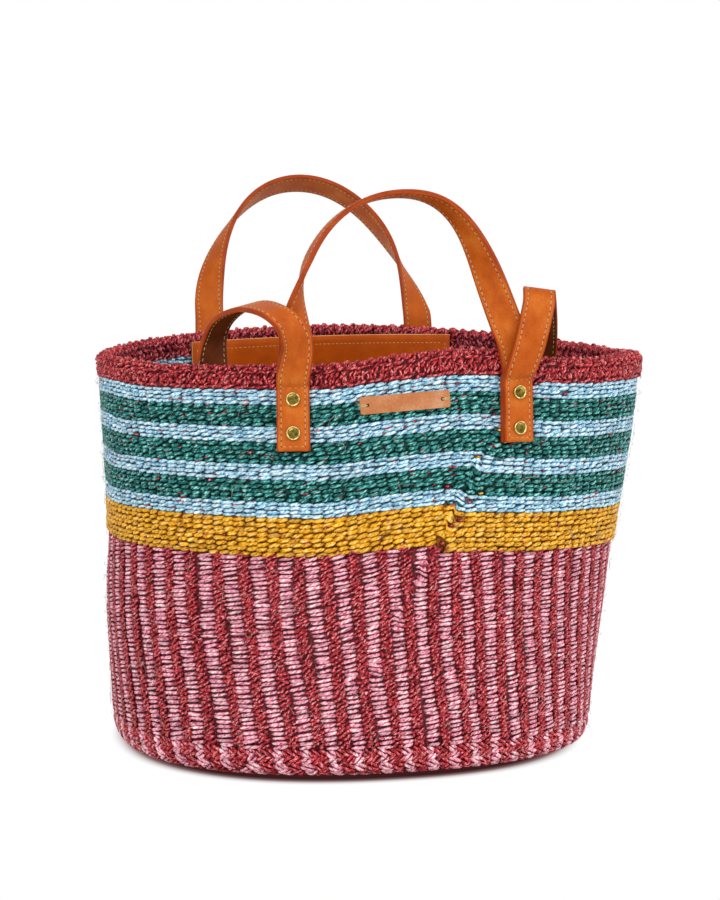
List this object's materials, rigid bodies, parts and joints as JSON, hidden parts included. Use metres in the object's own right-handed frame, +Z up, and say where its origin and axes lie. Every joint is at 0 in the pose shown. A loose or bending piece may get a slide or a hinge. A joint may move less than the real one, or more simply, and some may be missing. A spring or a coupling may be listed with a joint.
{
  "type": "tote bag",
  "caption": "Oval woven sisal tote bag with a twined wall in striped bands, a thick rim, two riveted leather grab handles, a long leather strap, an inner slip pocket and a blank label.",
  "frame": {"origin": "centre of the base's underside, on the surface that the bag stands on", "axes": "+Z up; the front, with the label, faces -Y; +X to the right of someone who looks at the front"},
  "size_m": [0.3884, 0.3502, 0.4034],
  "materials": {
    "wine_yarn": "coarse sisal yarn, matt with a slight fibre sheen",
    "pink_and_wine_yarn": "coarse sisal yarn in pink and wine columns",
    "mustard_yarn": "coarse sisal yarn",
    "light_blue_yarn": "coarse sisal yarn",
    "teal_yarn": "coarse sisal yarn",
    "leather": "smooth tan leather, satin",
    "leather_lining": "darker flesh-side lining, matt",
    "label_leather": "pale tan leather, bare",
    "brass": "polished cap"
  },
  "bodies": {
    "basket": {"foot_braid": "wine_yarn", "basket_base": "pink_and_wine_yarn", "lower_wall": "pink_and_wine_yarn", "mustard_band": "mustard_yarn", "light_blue_band_1": "light_blue_yarn", "light_blue_band_2": "light_blue_yarn", "light_blue_band_3": "light_blue_yarn", "light_blue_band_4": "light_blue_yarn", "teal_band_1": "teal_yarn", "teal_band_2": "teal_yarn", "teal_band_3": "teal_yarn", "rim": "wine_yarn", "front_left_handle_end_outer_ply": "leather", "front_left_handle_end_lining": "leather_lining", "front_right_handle_end_outer_ply": "leather", "front_right_handle_end_lining": "leather_lining", "rear_left_handle_end_outer_ply": "leather", "rear_left_handle_end_lining": "leather_lining", "rear_right_handle_end_outer_ply": "leather", "rear_right_handle_end_lining": "leather_lining", "front_left_lower_rivet_cap": "brass", "front_left_lower_rivet_back": "brass", "front_left_upper_rivet_cap": "brass", "front_left_upper_rivet_back": "brass", "front_right_lower_rivet_cap": "brass", "front_right_lower_rivet_back": "brass", "front_right_upper_rivet_cap": "brass", "front_right_upper_rivet_back": "brass", "rear_left_lower_rivet_cap": "brass", "rear_left_lower_rivet_back": "brass", "rear_left_upper_rivet_cap": "brass", "rear_left_upper_rivet_back": "brass", "rear_right_lower_rivet_cap": "brass", "rear_right_lower_rivet_back": "brass", "rear_right_upper_rivet_cap": "brass", "rear_right_upper_rivet_back": "brass", "long_strap_left_end_outer_ply": "leather", "long_strap_left_end_lining": "leather_lining", "long_strap_right_end_outer_ply": "leather", "long_strap_right_end_lining": "leather_lining", "label": "label_leather", "pocket_panel": "leather"},
    "front_handle": {"front_handle_outer_ply": "leather", "front_handle_lining": "leather_lining"},
    "rear_handle": {"rear_handle_outer_ply": "leather", "rear_handle_lining": "leather_lining"},
    "long_strap": {"long_strap_outer_ply": "leather", "long_strap_lining": "leather_lining"}
  },
  "joints": [
    {"name": "front_handle_fold", "type": "hinge", "parent": "basket", "child": "front_handle", "pos_m": [0.0062, -0.13225, 0.28433], "axis": [-1, 0, 0], "range_deg": [0, 80]},
    {"name": "rear_handle_fold", "type": "hinge", "parent": "basket", "child": "rear_handle", "pos_m": [0.0026, 0.12567, 0.29388], "axis": [-1, 0, 0], "range_deg": [-105, 65]},
    {"name": "long_strap_swing", "type": "hinge", "parent": "basket", "child": "long_strap", "pos_m": [-0.0015, -0.08925, 0.25633], "axis": [1, 0, 0], "range_deg": [0, 95]}
  ]
}
